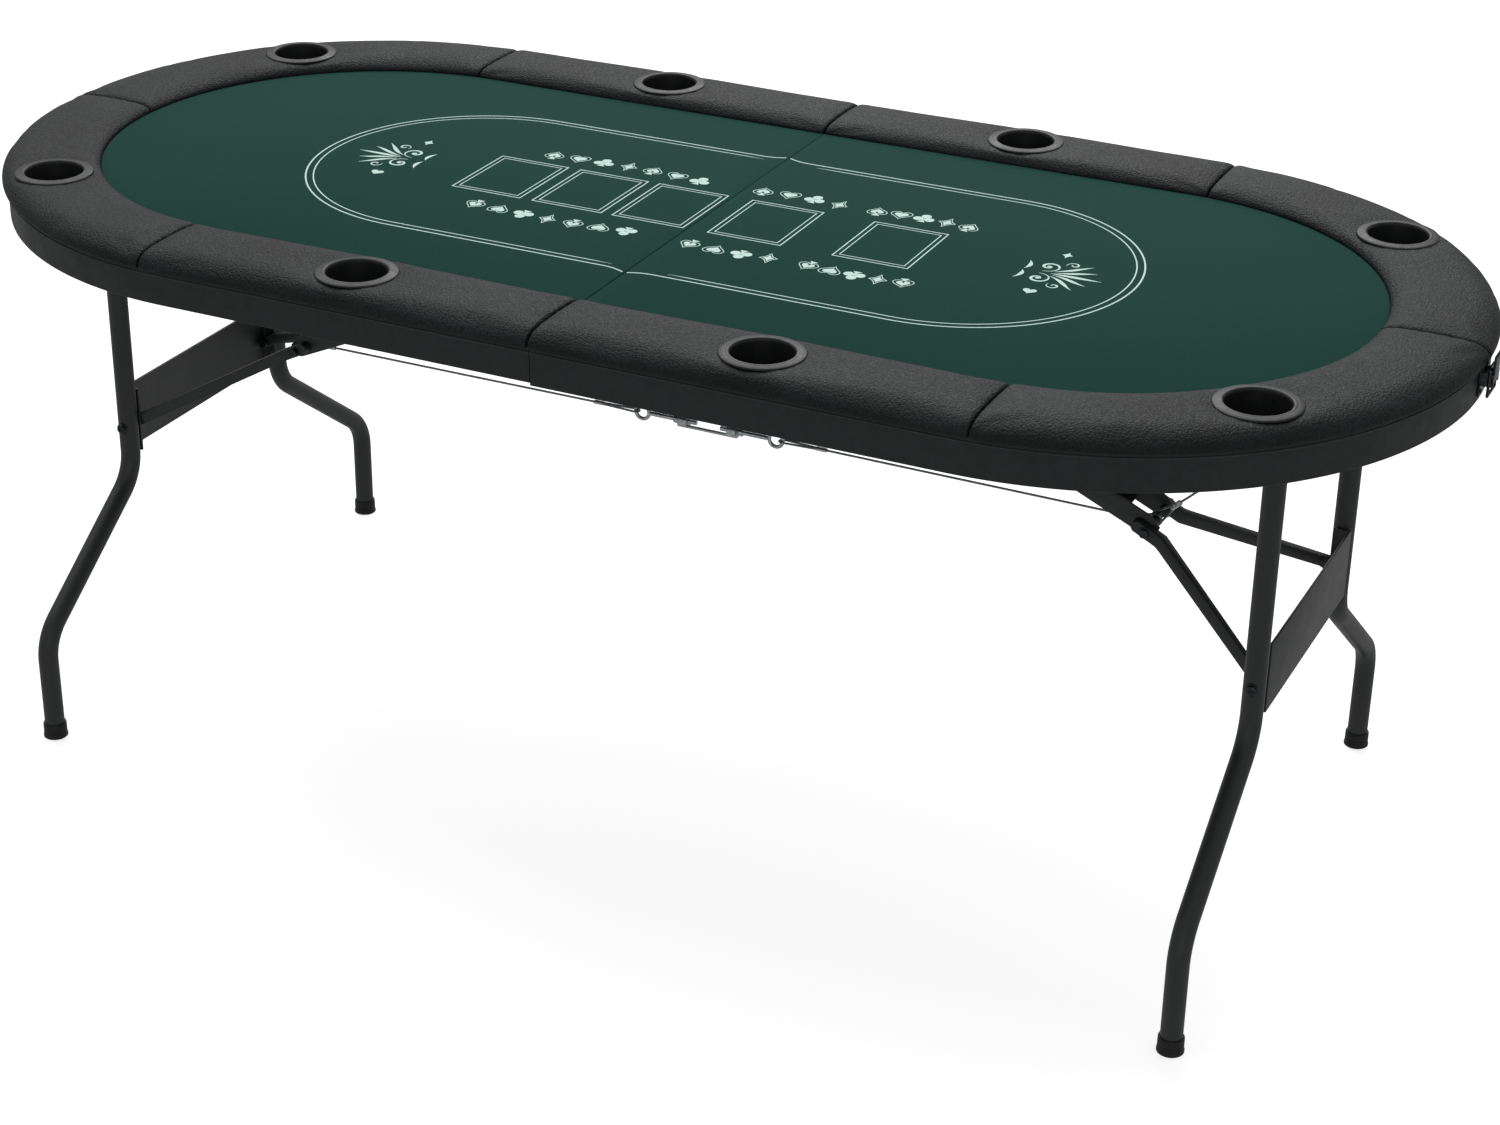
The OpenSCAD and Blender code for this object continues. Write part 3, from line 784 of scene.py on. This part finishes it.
def add_felt(material):
    """Each half's felt: a flat sheet glued down, with its cut edge rolled over at the fold."""
    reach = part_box("felt_right")[1].y
    low = BOARD_TOP + 0.0002
    edge = 0.0011
    outline = [(bx + reach * nx, reach * ny) for bx, nx, ny in half_stations(GAP)]
    rings = []
    for inset, z in ((0, low), (0, FELT_TOP - edge), (edge * 0.3, FELT_TOP - edge * 0.3), (edge, FELT_TOP)):
        for x, y in outline:
            flat = Vector((max(x - END_X, 0), y))
            shrunk = flat * (1 - inset / max(flat.length, 1e-6))
            rings.append((max(min(x, END_X) + shrunk.x, GAP + inset), shrunk.y, z))
    for side, sx in SIDES:
        solid = Solid().add(rings, ring_faces(4, len(outline)))
        piece = show(f"cloth_{side}", solid, material, f"{side}_half", (f"felt_{side}",), 60,
                     (sx, 1, 1))


# ---------------- printed layout

INK_UP = 0.00018
INK_DOWN = 0.00012


def strip(left, right, closed):
    """A thin printed band between two plan lines."""
    low, high = FELT_TOP - INK_DOWN, FELT_TOP + INK_UP
    verts = [(*p, z) for a, b in zip(left, right) for p, z in ((a, low), (a, high), (b, high), (b, low))]
    return verts, ring_faces(len(left), 4, closed)


def ribbon(points, width, closed=False):
    """A thin printed line of one width, or one width per point, along plan points."""
    plan = np.array(points, float)
    if closed:
        before, after = np.roll(plan, 1, 0), np.roll(plan, -1, 0)
    else:
        before, after = np.vstack([plan[:1], plan[:-1]]), np.vstack([plan[1:], plan[-1:]])
    way = after - before
    way /= np.maximum(np.linalg.norm(way, axis=1), 1e-9)[:, None]
    normal = np.stack([-way[:, 1], way[:, 0]], 1)
    half = np.broadcast_to(np.array(width, float) / 2, (len(plan),))
    if closed:
        back = plan - before
        back /= np.maximum(np.linalg.norm(back, axis=1), 1e-9)[:, None]
        half = half / np.clip(np.abs((back * way).sum(1)), 0.5, 1)
    return strip(plan + normal * half[:, None], plan - normal * half[:, None], closed)


def mitred(corners, line):
    """A closed straight-sided line with square corners."""
    plan = np.array(corners, float)
    way = np.sign(plan - plan.mean(0)) * line / 2
    return strip(plan + way, plan - way, True)


def patch(points):
    """A thin printed solid shape inside plan points."""
    count = len(points)
    verts = [(*p, FELT_TOP - INK_DOWN) for p in points] + [(*p, FELT_TOP + INK_UP) for p in points]
    faces = [tuple(range(count)), tuple(reversed(range(count, 2 * count)))]
    faces += [(j, (j + 1) % count, count + (j + 1) % count, count + j) for j in range(count)]
    return verts, faces


def bezier(points, steps):
    """Points of one cubic curve."""
    p = np.array(points, float)
    t = np.linspace(0, 1, steps)[:, None]
    return (1 - t) ** 3 * p[0] + 3 * (1 - t) ** 2 * t * p[1] + 3 * (1 - t) * t ** 2 * p[2] + t ** 3 * p[3]


def heart(size):
    t = np.linspace(0, 2 * np.pi, 36, endpoint=False)
    return np.stack([16 * np.sin(t) ** 3,
                     13 * np.cos(t) - 5 * np.cos(2 * t) - 2 * np.cos(3 * t) - np.cos(4 * t)], 1) * size / 32


def diamond(size):
    """Four corners joined by sides that bow inwards."""
    corners = [(0, 0.56), (0.40, 0), (0, -0.56), (-0.40, 0)]
    found = []
    for k in range(4):
        a, b = np.array(corners[k]), np.array(corners[(k + 1) % 4])
        for t in np.linspace(0, 1, 6)[:-1]:
            found.append((a + (b - a) * t) * (1 - 0.25 * math.sin(math.pi * t)))
    return np.array(found) * size


def spade(size):
    return heart(size * 0.92) * (1, -1) + (0, size * 0.06)


def stem(size):
    right_side = [(0.04, 0.0), (0.06, -0.28), (0.20, -0.48)]
    left_side = [(-x, y) for x, y in reversed(right_side)]
    return np.array(left_side[-1:] + right_side + left_side[:-1]) * size


def pip(kind, size):
    """A suit pip about its own centre, as plan shapes: three lobes, or an outline with a solid middle."""
    if kind == "club":
        lobes = ((0, 0.26), (-0.27, -0.1), (0.27, -0.1))
        return [patch(circle(size * 0.23, 20, (x * size, y * size))) for x, y in lobes] + [patch(stem(size))]
    outline = {"heart": heart, "diamond": diamond, "spade": spade}[kind](size)
    middle = outline.mean(0)
    shapes = [ribbon(outline, 0.0011, closed=True), patch((outline - middle) * 0.66 + middle)]
    return shapes + [patch(stem(size))] if kind == "spade" else shapes


def placed(shape, x, y, turn):
    c, s = math.cos(turn), math.sin(turn)
    verts, faces = shape
    return [(x + c * v[0] - s * v[1], y + s * v[0] + c * v[1], v[2]) for v in verts], faces


def pip_row(solid, start, end, y, bow, count, facing):
    """A slightly arched row of suit pips from x start to x end; facing is +1 to read from the front."""
    kinds = ("spade", "heart", "club", "diamond")
    for k in range(count):
        t = (k + 0.5) / count
        lift = bow * (1 - (2 * t - 1) ** 2)
        tilt = -bow * 4 * (2 * t - 1) / abs(end - start)
        turn = tilt + (0 if facing > 0 else math.pi)
        for shape in pip(kinds[k % 4], 0.026):
            solid.add(*placed(shape, start + (end - start) * t, y + lift, turn))


def card_frame(solid, x, wide, deep):
    """A place for one card: two lines, one inside the other."""
    for inset, line in ((0, 0.0016), (0.0062, 0.0013)):
        w, d = wide / 2 - inset, deep / 2 - inset
        solid.add(*mitred([(x - w, -d), (x + w, -d), (x + w, d), (x - w, d)], line))


def spiral(middle, inner, outer, start, turns):
    """Points of a scroll that winds outwards from its eye."""
    t = np.linspace(0, 1, 60)
    a = start + 2 * np.pi * turns * t
    r = inner + (outer - inner) * t ** 1.3
    return np.stack([middle[0] + r * np.cos(a), middle[1] + r * np.sin(a)], 1)


def tapered(line, thin, thick):
    """Widths along a line that swells in its middle."""
    return thin + (thick - thin) * np.sin(np.pi * np.linspace(0, 1, len(line))) ** 1.2


def flourish(solid, x, way):
    """A mirrored pair of scrolls with outward leaf blades, a heart in front of it and a diamond behind."""
    eye = (-0.016, 0.019)
    scroll = spiral(eye, 0.0028, 0.0150, 0.4, -1.35)
    small = spiral((0.008, 0.034), 0.0018, 0.0085, 2.4, 1.2)
    strokes = [(scroll, tapered(scroll, 0.0007, 0.0034)), (small, tapered(small, 0.0006, 0.0024))]
    for points in ([(-0.004, 0.004), (0.014, 0.006), (0.024, 0.016), (0.040, 0.020)],
                   [(-0.006, 0.008), (0.010, 0.014), (0.016, 0.026), (0.030, 0.038)],
                   [(-0.040, 0.003), (-0.036, 0.010), (-0.036, 0.018), (-0.042, 0.028)]):
        blade = bezier(points, 24)
        strokes.append((blade, tapered(blade, 0.0004, 0.0050)))
    pairs = [(line * (1, sy), width) for sy in (-1, 1) for line, width in strokes]
    middle_blade = bezier([(-0.008, 0.0), (0.010, 0.0), (0.030, 0.0), (0.052, 0.0)], 24)
    pairs.append((middle_blade, tapered(middle_blade, 0.0004, 0.0056)))
    for line, width in pairs:
        solid.add(*ribbon(np.array((x, 0)) + line * (way, 1), width))
    for sy in (1, -1):
        solid.add(*patch(circle(0.0026, 20, (x + way * eye[0], sy * eye[1]))))
    solid.add(*placed(patch(heart(0.016)), x + way * -0.010, -0.060, 0))
    solid.add(*placed(patch(diamond(0.016)), x + way * -0.010, 0.061, 0))


def oval_line(solid, half_long, half_wide, line, start, fade=0.0, flare=0.0):
    """One half's share of the layout's oval, whose ends thin out, or swing outwards at the fold."""
    arc_x = half_long - half_wide
    reach = np.linspace(0, 1, 24)
    straight = start + (arc_x - start) * reach ** 2
    side = half_wide + flare * np.clip(1 - (straight - start) / 0.030, 0, 1) ** 2.2
    arc = np.linspace(0, math.pi, 97)
    points = list(zip(straight[:-1], -side[:-1]))
    points += [(arc_x + half_wide * math.sin(a), -half_wide * math.cos(a)) for a in arc]
    points += list(zip(straight[-2::-1], side[-2::-1]))
    width = np.full(len(points), line)
    if fade:
        along = np.array([p[0] for p in points]) - start
        width *= np.clip(0.15 + along / fade, 0.15, 1)
    solid.add(*ribbon(points, width))


def add_print(material):
    """Card frames, rows of pips, scrolls and the double oval, on each half's felt."""
    card_wide, card_deep, flourish_x = 0.092, 0.121, 0.430
    frames = {"left": (-0.268, -0.159, -0.052), "right": (0.072, 0.229)}
    rows = {"left": [(-0.275, -0.042, 7)], "right": [(0.008, 0.140, 4), (0.158, 0.302, 5)]}
    for side, sx in SIDES:
        oval = Solid()
        oval_line(oval, 0.521, 0.208, 0.0020, GAP + 0.0025, flare=0.0075)
        oval_line(oval, 0.5118, 0.1988, 0.0016, 0.045 if side == "right" else 0.025, fade=0.03)
        solid = oval.mirrored((sx, 1, 1))
        for x in frames[side]:
            card_frame(solid, x, card_wide, card_deep)
        for start, end, count in rows[side]:
            pip_row(solid, start, end, 0.089, 0.008, count, 1)
            pip_row(solid, start, end, -0.099, -0.008, count, -1)
        flourish(solid, sx * flourish_x, sx)
        show(f"print_{side}", solid, material, f"{side}_half", sharp=60)


# ---------------- legs and braces

BEND_TOP = 0.318
BEND_R = 0.060
RISE, RUN = 0.6, 0.8


def leg_path():
    """Centre line of the front right leg's S-bent tube in its own y-z plane, from the top down."""
    turn = math.degrees(math.atan2(RUN, RISE))
    slope = (FOOT_Y - LEG_Y - 2 * BEND_R * (1 - RISE)) / RUN
    low_z = BEND_TOP - BEND_R * RUN - slope * RISE - BEND_R * RUN
    points = [(LEG_X, -LEG_Y, z) for z in np.linspace(LEG_TOP - 0.0006, BEND_TOP, 24)[:-1]]
    points += arc_points((LEG_X, -LEG_Y - BEND_R, BEND_TOP), BEND_R, 0, -turn, 22, "yz")
    a = np.array(points[-1])
    b = a + np.array((0, -RUN, -RISE)) * slope
    points += [tuple(a + (b - a) * t) for t in np.linspace(0, 1, 14)[1:-1]]
    points += arc_points((LEG_X, -FOOT_Y + BEND_R, low_z), BEND_R, 180 - turn, 180, 22, "yz")
    points += [(LEG_X, -FOOT_Y, z) for z in np.linspace(low_z, 0.0035, 10)[1:]]
    return points


def add_legs(coat, rubber):
    """The bent tubes, with ribbed rubber caps on their feet."""
    path = leg_path()
    radii = [TUBE_R - 0.0012] + [TUBE_R] * (len(path) - 1)
    cap_r = TUBE_R + 0.0022
    cap = [(CORE, 0)] + stepped(cap_r, 0, [(-0.6, 0), (0.6, 1.0), (0.7, 3.4), (0, 4.4)])
    for rib in (6.2, 9.6):
        cap += stepped(cap_r, rib * MM, [(0, 0), (-0.5, 0.4), (-0.5, 1.2), (0, 1.6)])
    cap += stepped(cap_r, 0, [(-0.1, 18.6), (-0.8, 19.9)]) + stepped(TUBE_R, 0, [(0.1, 19.9), (0.1, 4)])
    cap.append((CORE, 0.004))
    for side, sx in SIDES:
        body = f"{side}_leg_frame"
        for depth, sy in DEPTHS:
            leg = Solid().add(*tube(path, radii, 48))
            show(f"tube_{side}_{depth}", leg, coat, body, (f"leg_{side}_{depth}",), 50,
                 (sx, -sy, 1))
        caps = Solid()
        for _, sy in DEPTHS:
            caps.add(*lathe(cap, (sx * LEG_X, sy * FOOT_Y, 0), "Z", 64))
        show(f"foot_caps_{side}", caps, rubber, body, (f"feet_{side}",), sharp=45)


def bolt_set(sx, spot, out, washer, nut, nut_span, shaft, head=None):
    """A bolt at each depth: washer, perhaps a screw head, nut and shaft, measured from y = out."""
    solid = Solid()
    for _, sy in DEPTHS:
        x, y, z = sx * spot.x, sy * out, spot.z
        solid.add(*disc((x, y, z), *washer, sy))
        if head:
            solid.join(socket_head((x, y + sy * 0.0014, z), *head, sy))
        solid.add(*hexagon((x, 0, z), nut, *sorted(sy * (out + span) for span in nut_span)))
        solid.add(*tube([(x, sy * (out + step), z) for step in shaft], 0.004, 20))
    return solid


def add_frame_steel(coat, bright, screw_steel):
    """Plates, axles and braces keep their CAD shapes with rounded edges; bolts, nuts and screws are added."""
    bodies = frame["record"]["behaviour"]["bodies"]
    home = {node: body for body, nodes in bodies.items() for node in nodes}
    slimmer = 0.985
    nut_in = TUBE_R + 0.0282
    for side, sx in SIDES:
        half = f"{side}_half"
        edges = {f"cross_plate_{side}": 0.0007, f"axle_{side}": 0.0008, f"arm_{side}_front": 0.0011,
                 f"arm_{side}_back": 0.0011, f"link_{side}": 0.0008, f"brackets_{side}": 0.0005}
        for node, edge in edges.items():
            mesh = refined(node, edge)
            if node.startswith("axle"):
                middle = centre(node)
                mesh.transform(Matrix.Translation(middle) @ Matrix.Diagonal((slimmer, 1, slimmer, 1))
                               @ Matrix.Translation(-middle))
            show("steel_" + node, mesh, coat, home[node], (node,))
        bolts = bolt_set(sx, LEG_BOLT, LEG_Y + TUBE_R, (0.0075, 0.0016, 0.0005), 0.0125,
                         (-nut_in, -nut_in - 0.0048), -np.linspace(-0.001, 0.045, 4), (0.0062, 0.0031))
        show(f"leg_bolt_set_{side}", bolts, screw_steel, f"{side}_leg_frame",
             (f"leg_bolts_{side}",))
        knee = bolt_set(sx, KNEE, 0.0432, (0.0070, 0.0012, 0.0004), 0.0108, (0.001, 0.0045),
                        (-0.0120, -0.0072, -0.0032, 0.0008))
        show(f"knee_bolt_set_{side}", knee, screw_steel, f"{side}_arms",
             (f"knee_bolts_{side}",))
        dress(f"ring_plate_{side}", f"rope_anchor_{side}", 0.0004, bright, half)
        dress(f"fold_hinges_{side}", f"hinge_leaf_{side}", 0.0004, bright, half)
        screws = Solid()
        for sy in (-1, 1):
            for dx in (-0.016, 0.016):
                place = (LEG_X + dx, sy * (LEG_Y + 0.033), BOARD_LOW - 0.003)
                screws.join(socket_head(place, 0.004, 0.002, -1, "Z"))
            screws.join(socket_head((0.040, sy * 0.050, BOARD_LOW - 0.002), 0.0035, 0.0018, -1, "Z"))
        show(f"bracket_screws_{side}", screws, bright, half, flip=(sx, 1, 1))
    dress("hinge_pin_set", "hinge_pins", 0.0004, bright, "left_half")


# ---------------- wire rope and turnbuckle

ROPE_R = 0.0015
LAY_PITCH = 0.019
GRIP_R = 0.0044
KNEE_LOOP_R = 0.0070
NECK = 0.0016
EYE_IN = 0.0115
FERRULE_X = 0.142
SLACK_X = 0.34


def densified(path, step=0.0016):
    """The same path with points a short step apart, and the distance along it at each."""
    p = np.array(path, float)
    s = np.concatenate([[0], np.cumsum(np.linalg.norm(np.diff(p, axis=0), axis=1))])
    t = np.linspace(0, s[-1], max(int(s[-1] / step), 4))
    return np.stack([np.interp(t, s, p[:, k]) for k in range(3)], 1), t


def wire(solid, path):
    """Six strands laid round a core along a path."""
    line, s = densified(path)
    points, across, up = frames_along(line)
    lay, strands = ROPE_R * 0.64, 6
    solid.add(*tube(points, ROPE_R * 0.5, 6))
    for k in range(strands):
        turn = 2 * np.pi * (s / LAY_PITCH + k / strands)
        strand = points + lay * (np.cos(turn)[:, None] * across + np.sin(turn)[:, None] * up)
        solid.add(*tube(strand, ROPE_R * 0.37, 6))


def eye_loop(solid, middle, radius, start, plane, neck, aside):
    """A loop of rope, half a turn round middle from the angle start, whose two ends lie aside of neck."""
    bend = arc_points(middle, radius, start, start + 180, 20, plane)
    wire(solid, [tuple(neck + aside)] + bend + [tuple(neck - aside)])


def ferrule(start, end, side):
    """A pressed sleeve round the doubled rope, oval, with two crimp dents."""
    a, b = np.array(start, float), np.array(end, float)
    way = (b - a) / np.linalg.norm(b - a)
    across = np.array(side, float)
    across /= np.linalg.norm(across)
    up = np.cross(way, across)
    wide, thick, sides = 0.0034, 0.0025, 28
    verts = []
    stations = np.linspace(0, 1, 25)
    for t in stations:
        dent = 1 - 0.10 * (math.exp(-((t - 0.32) / 0.07) ** 2) + math.exp(-((t - 0.68) / 0.07) ** 2))
        end_r = 0.86 + 0.14 * min(1, min(t, 1 - t) / 0.06)
        for u, v in circle(1, sides):
            swell = across * wide * u * dent + up * thick * v * (2 - dent)
            verts.append(a + (b - a) * t + swell * end_r)
    return Solid().add(verts, ring_faces(len(stations), sides))


def add_ropes(rope_steel, sleeve_metal):
    """Each side's wire rope, from the turnbuckle's eye to the knee and from there up to the deck's ring."""
    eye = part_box("turnbuckle_eye_right")[1].x - EYE_IN
    ring_low, ring_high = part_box("rope_anchor_right")
    anchor = np.array(((ring_low.x + ring_high.x) / 2, 0.004, ring_low.z + 0.002))
    first = np.array((FERRULE_X, 0, ROPE_Z))
    middle = (SLACK_X, -0.0021, ROPE_Z + 0.0002)
    second = np.array((KNEE.x - 0.037, -0.004, ROPE_Z + 0.0005))
    along = np.array((1, 0, 0))
    inner = Solid()
    eye_loop(inner, (eye + 0.009, 0, ROPE_Z), GRIP_R, 90, "xy", first + 0.004 * along, np.array((0, NECK, 0)))
    wire(inner, [tuple(first + 0.010 * along), middle])
    knee = Solid()
    wire(knee, [middle, tuple(second + 0.003 * along)])
    eye_loop(knee, (KNEE.x, second[1], KNEE.z), KNEE_LOOP_R, -90, "xz", second + 0.009 * along,
             np.array((0, 0, -NECK)))
    start = np.array((KNEE.x, 0.004, KNEE.z))
    way = (anchor - start) / np.linalg.norm(anchor - start)
    aside = np.array((-way[2], 0, way[0]))
    third, fourth = start + 0.022 * way, anchor - 0.030 * way
    tilt = math.degrees(math.atan2(way[2], way[0]))
    riser = Solid()
    eye_loop(riser, start, KNEE_LOOP_R, tilt + 90, "xz", third + 0.003 * way, NECK * aside)
    wire(riser, [tuple(third + 0.008 * way), tuple(fourth + 0.002 * way)])
    eye_loop(riser, anchor, GRIP_R, tilt - 90, "xz", fourth + 0.006 * way, -NECK * aside)
    for side, sx in SIDES:
        flip = (sx, 1, 1)
        half, link, eye_body = f"{side}_half", f"{side}_link", f"turnbuckle_{side}_end"
        near = show(f"rope_{side}_inner", inner, rope_steel, None, (f"rope_{side}",), 80, flip)
        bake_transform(near)
        far = show(f"rope_{side}_knee", knee, rope_steel, None, (), 80, flip)
        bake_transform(far)
        rise = show(f"rope_{side}_riser", riser, rope_steel, None, (), 80, flip)
        crimp = ferrule(third - 0.002 * way, third + 0.013 * way, aside)
        grip_sleeve = show(f"sleeve_{side}_riser", crimp, sleeve_metal, None, flip=flip)
        for piece in (rise, grip_sleeve):
            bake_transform(piece)
        for place, low, high, across, body in (
                ("turnbuckle", first, first + 0.015 * along, (0, 1, 0), eye_body),
                ("knee", second, second + 0.014 * along, (0, 0, 1), link),
                ("anchor", fourth - 0.003 * way, fourth + 0.011 * way, aside, half)):
            show(f"sleeve_{side}_{place}", ferrule(low, high, across), sleeve_metal, body, flip=flip)


def thread(start, end, radius):
    """A threaded rod along X at the rope's height, its crest running in a helix."""
    sides, pitch, depth = 20, 0.001, 0.00032
    stations = np.arange(start, end, pitch / 5)
    verts = []
    for x in stations:
        for j in range(sides):
            g = 2 * math.pi * j / sides
            wave = abs(((x / pitch - g / (2 * math.pi)) % 1) * 2 - 1)
            r = radius - depth * wave
            verts.append((x, r * math.cos(g), ROPE_Z + r * math.sin(g)))
    return verts, ring_faces(len(stations), sides)


def add_turnbuckle(bright):
    """The open body, and a threaded eye bolt with its lock nut on each side."""
    dress("turnbuckle_frame", "turnbuckle_body", 0.0007, bright, "turnbuckle", sharp=40)
    low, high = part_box("turnbuckle_eye_right")
    eye = high.x - EYE_IN
    bolt = Solid()
    bolt.add(*thread(low.x, eye - 0.014, 0.0030))
    bolt.add(*tube([(x, 0, ROPE_Z) for x in np.linspace(eye - 0.015, eye - 0.0085, 6)],
                   [0.0027, 0.0027, 0.0027, 0.0026, 0.0027, 0.0030], 20))
    bolt.add(*lathe(circle(0.0025, 20, (0.009, 0)), (eye, 0, ROPE_Z), "Y", 56))
    bolt.add(*hexagon((0, 0, ROPE_Z), 0.0098, 0.041, 0.046, "X"))
    for side, sx in SIDES:
        show(f"eye_bolt_{side}", bolt, bright, f"turnbuckle_{side}_end",
             (f"turnbuckle_eye_{side}",), 50, (sx, 1, 1))


# ---------------- latch

def add_latch(dark_metal):
    """The draw latch's four parts in their CAD shapes, with screws in its two plates."""
    for node, body, edge in (("latch_base", "right_half", 0.0005), ("latch_lever", "latch_handle", 0.0006),
                             ("latch_bail", "latch_loop", 0.0), ("latch_keeper", "left_half", 0.0005)):
        dress("steel_" + node, node, edge, dark_metal, body)
    low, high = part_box("latch_base")
    face = low.x + 0.002
    for sx, body in ((1, "right_half"), (-1, "left_half")):
        screws = Solid()
        for y in (-0.010, 0.010):
            for z in (low.z + 0.005, high.z - 0.005):
                screws.join(socket_head((face, y, z), 0.0030, 0.0014, 1, "X"))
        show(f"latch_screws_{body}", screws, dark_metal, body, flip=(sx, 1, 1))


# ---------------- the whole table

def build():
    leather = leatherette("rail_leatherette", (38, 40, 41), (25, 26, 27))
    # The welt is a lighter copy of the rail leatherette: its pale colour is a painted highlight along the lip
    # under the rail.
    highlight_welt = leatherette("welt_painted_highlight", (70, 74, 75), (56, 59, 60), grain=900, depth=0.0002)
    plastic = moulded("cup_plastic", (26, 27, 28), (18, 19, 20))
    foot = moulded("foot_plastic", (30, 31, 31), (18, 19, 19), rough=(0.42, 0.55))
    facing = laminate("apron_facing", (33, 35, 37), (27, 29, 30))
    underside = laminate("board_facing", (38, 38, 39), (26, 26, 27), (1, 14, 14))
    coat = powder_coat()
    zinc = metal("zinc_plate", (205, 208, 210), (158, 162, 166))
    rope_steel = metal("rope_steel", (176, 178, 180), (120, 123, 126), rough=(0.28, 0.42))
    sleeve = metal("sleeve_aluminium", (214, 215, 216), (176, 178, 180), rough=(0.3, 0.45))
    black_screw = metal("black_zinc", (70, 72, 74), (40, 42, 44), rough=(0.25, 0.4))
    add_pads(leather)
    add_cups(plastic)
    add_aprons(facing, highlight_welt)
    add_decks(underside, black_screw)
    add_felt(felt())
    add_print(ink())
    add_legs(coat, foot)
    add_frame_steel(coat, zinc, black_screw)
    add_ropes(rope_steel, sleeve)
    add_turnbuckle(zinc)
    add_latch(black_screw)


add_camera()
add_studio()
build()
